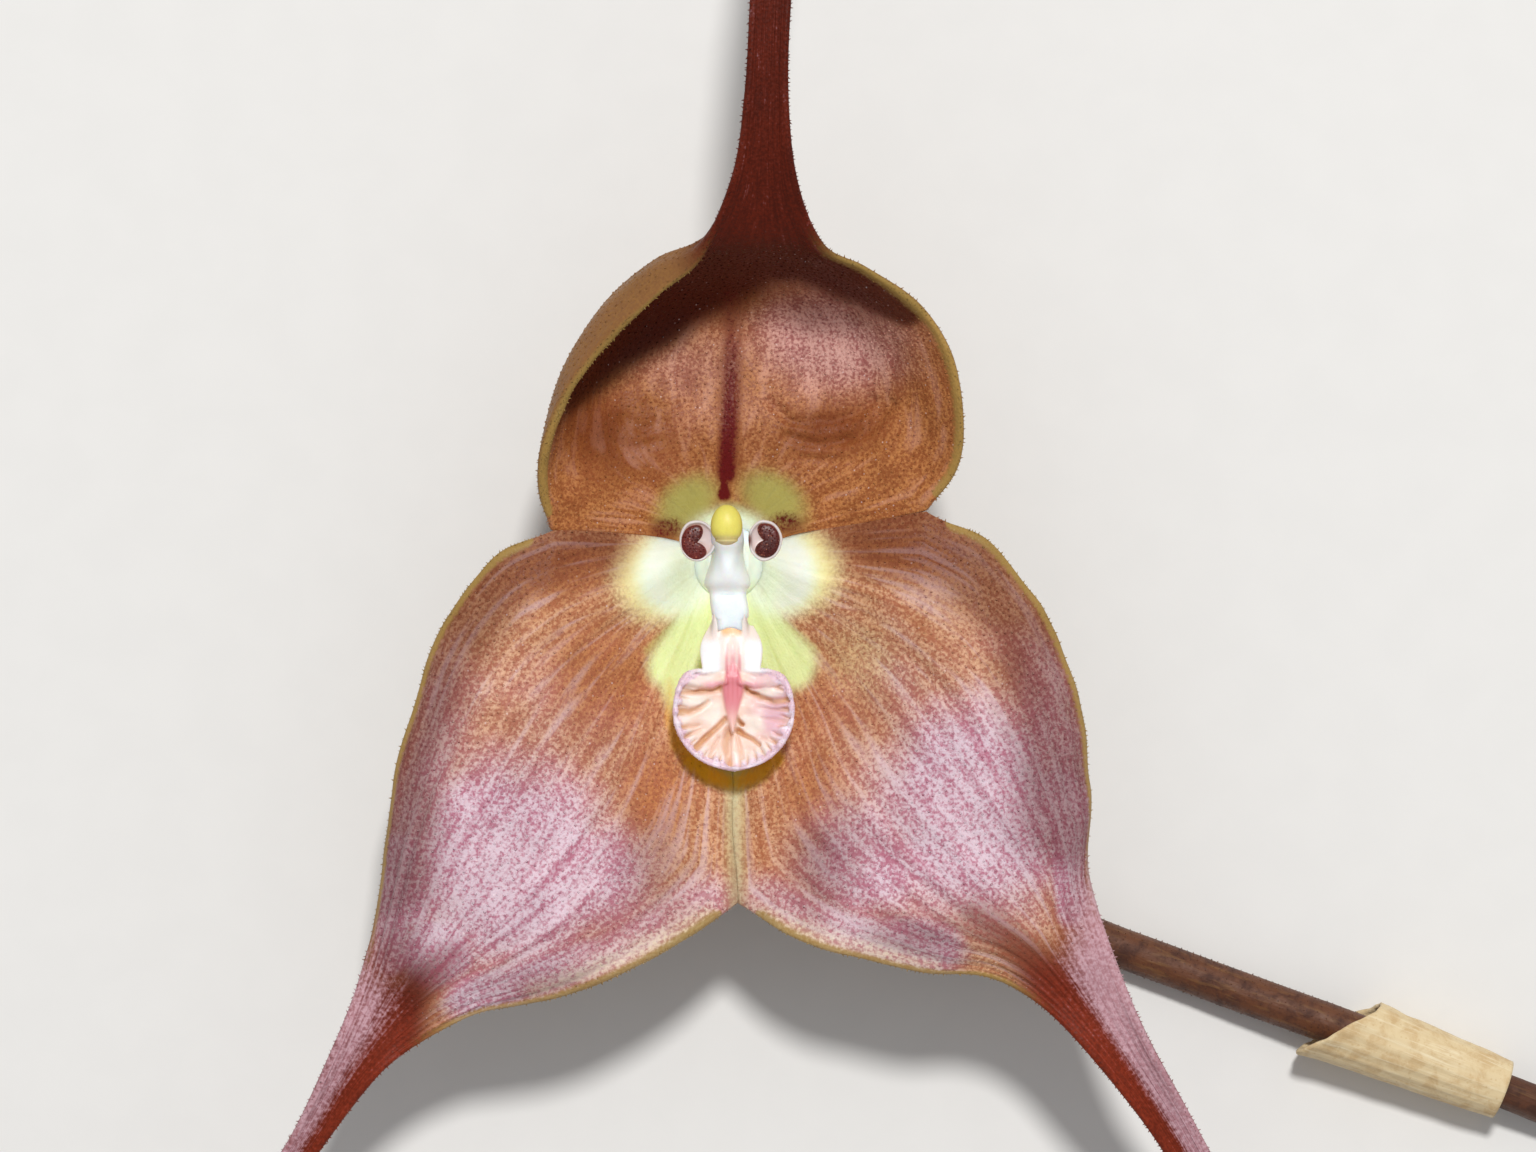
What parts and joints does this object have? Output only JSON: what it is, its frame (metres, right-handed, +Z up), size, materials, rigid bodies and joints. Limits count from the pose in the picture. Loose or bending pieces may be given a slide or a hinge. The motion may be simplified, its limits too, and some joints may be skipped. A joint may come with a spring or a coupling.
{
  "type": "monkey face orchid flower",
  "caption": "Single picked orchid flower lying face up: long-tailed sepals round a column, warty petals and a ridged lip, on its stalk.",
  "frame": {"origin": "on the surface that the flower lies on, under the middle of its bounding box", "axes": "+Z up out of the flower's open face, +Y towards the dorsal sepal's tail, +X to the right seen from above"},
  "size_m": [0.0869, 0.1064, 0.0166],
  "materials": {
    "sepal": "soft matt sepal tissue, orange brown to speckled purple pink, velvety with fine papillae",
    "petal": "glossy dark maroon warts with a white translucent rim",
    "column": "waxy white tissue",
    "anther_cap": "waxy yellow tissue",
    "lip": "waxy pale pink tissue with a peach ridged dish",
    "ovary": "ribbed brown green stalk tissue",
    "stalk": "mottled brown stalk tissue",
    "bract": "dry papery cream sheath",
    "stem": "mottled brown green stem tissue"
  },
  "bodies": {
    "root": {"dorsal_sepal": "sepal", "left_lateral_sepal": "sepal", "right_lateral_sepal": "sepal", "left_petal": "petal", "right_petal": "petal", "column": "column", "anther_cap": "anther_cap", "lip": "lip", "ovary": "ovary", "pedicel": "stalk", "floral_bract": "bract", "peduncle": "stem"}
  },
  "joints": []
}
